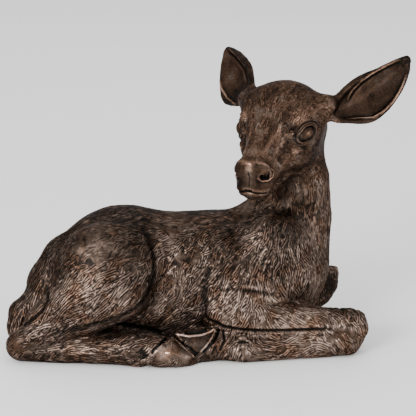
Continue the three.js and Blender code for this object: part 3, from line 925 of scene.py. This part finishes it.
rub_and_painted_light = np.zeros(count)
for x, y, reach, shine in RUBBED_AND_PAINTED_LIGHT:
    spot = at_pixel(x, y)
    twin = mirrored_face(spot) if spot[2] > HEAD_ABOVE else to_far_side(spot[None])[0]
    gap = np.minimum(norm(skin - spot, axis=1), norm(skin - twin, axis=1))
    rub_and_painted_light += shine * np.exp(-((gap / reach) ** 2) * SPOT_FALL)
print("rub from", rub_and_painted_light.min().round(2), "to", rub_and_painted_light.max().round(2))

# %% [markdown]
# The claws have crisp edges: a bright ridge where two faces meet, and a dark groove where the horn ends.

# %% Edges of the hooves
HOOF_LINES = [
    # picture line, width, height, smooth, shine
    ([(173, 333), (163, 341), (154, 349), (152, 354)], 1.6, -1.6, 0.6, 0),
    ([(176, 335.5), (186, 344.5), (198, 355.5)], 1.1, -2.2, 1, 0),
    ([(173.5, 337.5), (184, 347.5), (195, 357.5)], 1.1, 0.7, 1, 0.7),
    ([(175, 334), (189, 336.5), (202, 335), (210, 332), (216, 327.5)], 1.1, 1.0, 1, 0.8),
    ([(184, 332.5), (195, 332), (207, 329.5)], 2.4, -1.6, 1, 0),
    ([(216, 327.5), (212, 337.5), (206, 346), (200, 352.5)], 1.1, 0.8, 1, 0.7),
    ([(219, 329), (215.5, 338), (209.5, 346.5), (203.5, 352.5)], 1.5, -1.4, 0.5, 0),
    ([(223, 330), (224.5, 340), (220, 351)], 1.6, -0.9, 0.3, 0),
    ([(238, 342), (249, 342.5)], 1.2, -1.2, 1, 0),
    ([(140, 349), (143, 353), (145, 358)], 4.5, -1.1, 0.1, 0),
]
HOOF_TAPER = 0.08

for pixels, width, height, smooth, shine in HOOF_LINES:
    line = traced(*pixels)
    for copy in (line, to_far_side(line)):
        draw(copy, width, height, smooth, taper=HOOF_TAPER, shine=shine)
print("hooves carved with", len(HOOF_LINES), "lines")

# %% [markdown]
# The places of the tufts are drawn at random from the skin's points, with a fixed seed, so that every run
# gives the same coat. A slow wave pattern over the body leaves broad patches smoother.

# %% Press in the coat
TUFTS = 12000
SEED = 4822
GROUND_MARGIN = 2
BALD = 0.6
FULL_DEPTH, LEAST_CHANCE = 0.6, 0.3
NECK_TOP = 200
WAVES = np.array([[0.05, 0.031, 0.043], [-0.027, 0.05, 0.061]])
STRAND_HEIGHT, TUFT_HEIGHT = 0.58, 0.8

dice = np.random.default_rng(SEED)
coat = np.zeros(count)
seeds = dice.choice(count, TUFTS, replace=False)
seeds = seeds[(skin[seeds, 2] > GROUND_MARGIN) & (bare[seeds] < BALD)]
values = coat_at(skin[seeds])
odds = np.clip(values[:, 5] / FULL_DEPTH, LEAST_CHANCE, 1) + (skin[seeds, 2] > NECK_TOP)
kept = dice.random(len(seeds)) < odds
seeds, values = seeds[kept], values[kept]
chance = dice.random((len(seeds), 5))
patches = np.sin(skin[seeds] @ WAVES[0]) + np.sin(skin[seeds] @ WAVES[1] + 1.3)


def laid(direction, normal, angle):
    """The direction laid flat on the skin and turned by an angle, and the direction beside it."""
    direction = direction - normal * (direction @ normal)
    size = math.sqrt(direction @ direction)
    if size < 0.05:
        return None
    direction = direction / size
    side = np.cross(normal, direction)
    c, s = math.cos(angle), math.sin(angle)
    return direction * c + side * s, side * c - direction * s


def press(i, value, luck, patch):
    """Press one tuft of two or three strands at a point, over what is there."""
    length, width, depth, curl = value[3:]
    turned, bent, sized, phased, deepened = luck
    found = laid(value[:3], normals[i], (turned - 0.5) * (0.5 + 0.6 * curl))
    if found is None:
        return
    direction, side = found
    length *= 0.65 + 0.7 * sized
    depth *= 0.66 + 0.6 * deepened + 0.14 * patch
    strands = 2 + int(3 * phased) % 2
    level = TUFT_HEIGHT * (sized + bent - 1)
    ids = np.fromiter((k for _, k, _ in tree.find_range(skin[i], length * 0.5 + 1)), dtype=np.int64)
    rel = skin[ids] - skin[i]
    u, v = rel @ direction, rel @ side
    # bend and wave the tuft, and spread it towards its tip
    v = v - (bent - 0.5) * 0.05 * curl * u * u - 0.5 * curl * np.sin(u * 0.55 + phased * 6)
    v = v * (1 + 0.5 * u / length) / width
    half = 0.5 * strands
    edge = np.clip((half - np.abs(v)) / 0.4 + 0.25, 0, 1)
    end = np.clip((0.5 - np.abs(u) / length) * 6, 0, 1)
    strand = -np.cos(2 * np.pi * (v + half)) if strands % 2 else np.cos(2 * np.pi * (v + half + 0.5))
    cover = edge * end
    coat[ids] = coat[ids] * (1 - cover) + (strand * STRAND_HEIGHT + level) * depth * cover


for n, i in enumerate(seeds):
    press(i, values[n], chance[n], patches[n])
coat *= 1 - np.clip(bare * 1.3, 0, 1)
print("tufts:", len(seeds), "coat from", coat.min().round(2), "to", coat.max().round(2), "mm")

# %% [markdown]
# All pushes are applied at once. Close to the ground they fade out, so that the flat underside stays flat.

# %% Apply the pushes and settle on the ground
GROUND_FADE = 3
lift = (push + coat) * np.clip(skin[:, 2] / GROUND_FADE, 0, 1)
skin_out = skin + normals * lift[:, None]
skin_out[:, 2] = np.maximum(skin_out[:, 2], 0)
put_points(mesh, skin_out)
print("sculpted; the skin moved by up to", np.abs(lift).max().round(2), "mm")

# %% [markdown]
# ## Fewer faces
#
# The sculpted skin has over a million triangles. Decimating keeps them where the form is sharp and thins them
# where it is plain. It is done region by region, so that the shallow carving of the face isn't given up for
# the deep coat of the body.

# %% Thin the faces region by region
REGIONS = [
    # name, triangles to keep
    ("details", 42000),
    ("head", 44000),
    ("underside", 5000),
    ("body", 104000),
]
FOOT_REACH = 38
UNDERSIDE_BELOW = 12
FACING_DOWN = -0.8


def region_masks():
    middles = read(mesh.polygons, "center", 3) * MM
    local = world_to_head(middles)
    details = np.zeros(len(middles), dtype=bool)
    for middle, reach in FINE:
        details |= norm(local - middle, axis=1) < reach
    for middle in FEET:
        details |= norm(middles - middle, axis=1) < FOOT_REACH
    head = (middles[:, 2] > HEAD_ABOVE) & ~details
    facing_down = read(mesh.polygons, "normal", 3)[:, 2] < FACING_DOWN
    under = (middles[:, 2] < UNDERSIDE_BELOW) & facing_down & ~details
    return {"details": details, "head": head, "underside": under, "body": ~(details | head | under)}


only(fawn)
bpy.ops.object.modifier_add(type="TRIANGULATE")
bpy.ops.object.modifier_apply(modifier=fawn.modifiers[0].name)
for name, target in REGIONS:
    mesh = fawn.data
    picked = region_masks()[name]
    before = int(picked.sum())
    edit_faces(picked)
    bpy.ops.mesh.decimate(ratio=min(target / before, 1.0))
    bpy.ops.object.mode_set(mode="OBJECT")
    print(name, "from", before, "faces; the whole has", len(fawn.data.polygons))
mesh = fawn.data

# %% [markdown]
# ## What the patina needs to know
#
# The dark coating stays in the creases and is rubbed off what stands out. So each point of the skin carries
# four values: how far it stands out among its neighbours, how deep in a fold it lies, how smooth it is, and
# how much it was polished, with painted highlights and painted shade added to the last. Materials read them
# as attributes.

# %% Relief, crease, bare and polish attributes
SPREAD_ROUNDS, SPREAD = 12, 0.8
CONTRAST, CALM = 0.34, 0.18
ROUNDING = 0.005


def spread(layer):
    """A layer blurred over the skin's neighbours."""
    layer = layer.copy()
    for _ in range(SPREAD_ROUNDS):
        layer += SPREAD * (averaged(layer, skin_edges, count) - layer)
    return layer


stand = lift - spread(lift)
relief = np.clip(0.5 + CONTRAST * stand / (np.sqrt(spread(stand**2)) + CALM), 0, 1)

low, high = np.array(cad_box) * MM
final = np.clip(points_of(mesh), low + ROUNDING, high - ROUNDING)
final[:, 2] = np.where(final[:, 2] <= ROUNDING, 0, final[:, 2])
put_points(mesh, final)
sculpted = tree_of(skin_out)
source = np.array([sculpted.find(p)[1] for p in final])
# the fourth layer also carries painted highlights and painted shade from the eyes, the face and the broad
# spots
for name, array in (("relief", relief), ("crease", crease), ("bare", bare), ("polish", polish + rub_and_painted_light)):
    layer = mesh.attributes.new(name, "FLOAT", "POINT")
    layer.data.foreach_set("value", array[source].astype(np.float32))
    print(name, "mean", round(float(array.mean()), 3))
mesh.polygons.foreach_set("use_smooth", np.ones(len(mesh.polygons), dtype=bool))
print("the casting has", len(mesh.polygons), "triangles")

# %% [markdown]
# ## Patina
#
# Under the coating is plain metal. The coating is near black with a cold green-grey cast in the hollows, and
# warm brown where it is thin. On the ridges the rubbing shows a pinkish copper, brighter and smoother. Slow
# noise varies how hard each place was rubbed, and fine noise breaks up the edge of each rubbed spot. The head
# is a little redder than the body. The group puts out a colour and a roughness, and the shader stays in the
# material.

# %% Nodes with little writing
def new_group(name, inputs, outputs):
    """A node group with number inputs, and its inner ends."""
    group = bpy.data.node_groups.new(name, "ShaderNodeTree")
    for label, value in inputs:
        socket = group.interface.new_socket(label, in_out="INPUT", socket_type="NodeSocketFloat")
        socket.default_value = value
    for label, kind in outputs:
        group.interface.new_socket(label, in_out="OUTPUT", socket_type=kind)
    return group, group.nodes.new("NodeGroupInput"), group.nodes.new("NodeGroupOutput")


class Wires:
    """Adds nodes to a tree and links them."""

    def __init__(self, tree):
        self.tree = tree

    def node(self, kind, **settings):
        made = self.tree.nodes.new(kind)
        for key_, value in settings.items():
            setattr(made, key_, value)
        return made

    def link(self, source_, target):
        self.tree.links.new(source_, target)

    def feed(self, socket, value):
        if isinstance(value, (int, float, tuple)):
            socket.default_value = value
        else:
            self.link(value, socket)

    def math(self, operation, a, b):
        made = self.node("ShaderNodeMath", operation=operation)
        self.feed(made.inputs[0], a)
        self.feed(made.inputs[1], b)
        return made.outputs[0]

    def ramp(self, value, low, high):
        made = self.node("ShaderNodeMapRange", interpolation_type="SMOOTHSTEP")
        self.feed(made.inputs["Value"], value)
        made.inputs["From Min"].default_value = low
        made.inputs["From Max"].default_value = high
        return made.outputs["Result"]

    def noise(self, scale, detail, vector):
        made = self.node("ShaderNodeTexNoise")
        made.inputs["Scale"].default_value = scale
        made.inputs["Detail"].default_value = detail
        self.link(vector, made.inputs["Vector"])
        return made.outputs["Fac"]

    def mix(self, share, a, b):
        made = self.node("ShaderNodeMix", data_type="RGBA")
        self.feed(made.inputs["Factor"], share)
        self.feed(made.inputs["A"], a)
        self.feed(made.inputs["B"], b)
        return made.outputs["Result"]

    def attribute(self, name):
        return self.node("ShaderNodeAttribute", attribute_name=name).outputs["Fac"]


def ramp_node(w, value, stops):
    """A colour ramp from a few stops, each a position and a linear colour."""
    made = w.node("ShaderNodeValToRGB")
    w.link(value, made.inputs["Fac"])
    elements = made.color_ramp.elements
    while len(elements) < len(stops):
        elements.new(0.5)
    for element, (position, colour) in zip(elements, stops):
        element.position = position
        element.color = (*colour, 1)
    return made.outputs["Color"]


print("helpers for nodes:", [name for name in vars(Wires) if not name.startswith("_")])

# %% Patina as a node group
PATINA = [
    # position, linear colour
    (0.00, (0.0040, 0.0036, 0.0033)),
    (0.30, (0.0110, 0.0088, 0.0075)),
    (0.50, (0.0520, 0.0350, 0.0265)),
    (0.72, (0.1550, 0.1070, 0.0850)),
    (0.98, (0.4600, 0.3350, 0.2800)),
]
COLD = (0.012, 0.0125, 0.0115, 1)
COLD_RANGE, COLD_SHARE = (0.2, 1.0), 0.8
RUSTY, PLAIN = (1.0, 0.79, 0.63, 1), (0.97, 0.99, 0.98, 1)
TINT_RANGE, TINT_SHARE = (0.38, 0.62), 0.8
HEAD_FROM_TO, HEAD_REDNESS, GREYNESS = (0.17, 0.25), 0.14, 0.05
SWINGS = [
    # noise scale, detail, how much it varies the rubbing
    (13, 3, 0.6),
    (55, 4, 0.42),
    (380, 3, 0.34),
]
POLISH_AND_PAINTED_LIGHT_GAIN, CREASE_LOSS, BARE_LOSS = 0.38, 0.30, 0.08
ROUGHNESS, POLISHED, SMOOTHED, GRAINED = 0.42, 0.12, 0.12, 0.16
LAYERS = ("Relief", "Crease", "Bare", "Polish")

group, inside, outside = new_group(
    "rubbed_patina_with_painted_light",
    [(name, 0.0) for name in LAYERS],
    [("Color", "NodeSocketColor"), ("Roughness", "NodeSocketFloat")],
)
w = Wires(group)
place = w.node("ShaderNodeTexCoord").outputs["Object"]
noises = [w.noise(scale, detail, place) for scale, detail, _ in SWINGS]
relief_in, crease_in, bare_in, polish_in = (inside.outputs[name] for name in LAYERS)


def swing(value, size):
    return w.math("MULTIPLY", w.math("SUBTRACT", value, 0.5), size)


exposed_and_painted_light = relief_in
for noise, (_, _, size) in zip(noises, SWINGS):
    exposed_and_painted_light = w.math("ADD", exposed_and_painted_light, swing(noise, size))
# this layer brings in real rubbing together with painted highlights and painted shade
exposed_and_painted_light = w.math("ADD", exposed_and_painted_light, w.math("MULTIPLY", polish_in, POLISH_AND_PAINTED_LIGHT_GAIN))
exposed_and_painted_light = w.math("SUBTRACT", exposed_and_painted_light, w.math("MULTIPLY", crease_in, CREASE_LOSS))
exposed_and_painted_light = w.math("SUBTRACT", exposed_and_painted_light, w.math("MULTIPLY", bare_in, BARE_LOSS))
colour = ramp_node(w, exposed_and_painted_light, PATINA)

_, middling, quick = noises
height = w.node("ShaderNodeSeparateXYZ")
w.link(place, height.inputs["Vector"])
warmer = w.math("MULTIPLY", w.ramp(height.outputs["Z"], *HEAD_FROM_TO), HEAD_REDNESS)
greyer = w.math("SUBTRACT", w.math("ADD", middling, GREYNESS), warmer)
tint = w.mix(w.ramp(greyer, *TINT_RANGE), RUSTY, PLAIN)
tinted = w.node("ShaderNodeMix", data_type="RGBA", blend_type="MULTIPLY")
tinted.inputs["Factor"].default_value = TINT_SHARE
w.link(colour, tinted.inputs["A"])
w.link(tint, tinted.inputs["B"])
cold = w.math("MULTIPLY", w.ramp(crease_in, *COLD_RANGE), COLD_SHARE)
w.link(w.mix(cold, tinted.outputs["Result"], COLD), outside.inputs["Color"])

rough = w.math("SUBTRACT", ROUGHNESS, w.math("MULTIPLY", polish_in, POLISHED))
rough = w.math("SUBTRACT", rough, w.math("MULTIPLY", bare_in, SMOOTHED))
rough = w.math("ADD", rough, swing(quick, GRAINED))
w.link(rough, outside.inputs["Roughness"])
print("group", group.name, "with", len(group.nodes), "nodes")

# %% [markdown]
# The material hands the four layers to the group and takes its colour and roughness back. The coating lets
# less metal shine through than bare metal does, and cast skin has a very fine grain, which is a small bump.

# %% The material
METALLIC = 0.85
SPECULAR, SPECULAR_TINT = 0.3, (0.35, 0.35, 0.35, 1)
GRAIN_SCALE, GRAIN_DETAIL = 700, 4
GRAIN_STRENGTH, GRAIN_HEIGHT = 0.35, 0.0006

patina = bpy.data.materials.new("bronzed_aluminium")
patina.use_nodes = True
w = Wires(patina.node_tree)
shader = patina.node_tree.nodes["Principled BSDF"]
coating = w.node("ShaderNodeGroup", node_tree=group)
for name in LAYERS:
    w.link(w.attribute(name.lower()), coating.inputs[name])
w.link(coating.outputs["Color"], shader.inputs["Base Color"])
w.link(coating.outputs["Roughness"], shader.inputs["Roughness"])
shader.inputs["Metallic"].default_value = METALLIC
shader.inputs["Specular IOR Level"].default_value = SPECULAR
shader.inputs["Specular Tint"].default_value = SPECULAR_TINT
place = w.node("ShaderNodeTexCoord").outputs["Object"]
grain = w.node("ShaderNodeBump")
grain.inputs["Strength"].default_value = GRAIN_STRENGTH
grain.inputs["Distance"].default_value = GRAIN_HEIGHT
w.link(w.noise(GRAIN_SCALE, GRAIN_DETAIL, place), grain.inputs["Height"])
w.link(grain.outputs["Normal"], shader.inputs["Normal"])
mesh.materials.append(patina)
print("material", patina.name)

# %% [markdown]
# ## Hand over
#
# The finished piece stands for the packed model's one node, and rides on the one body of a part without
# joints.

# %% Finish
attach(fawn, "root")
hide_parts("fawn")
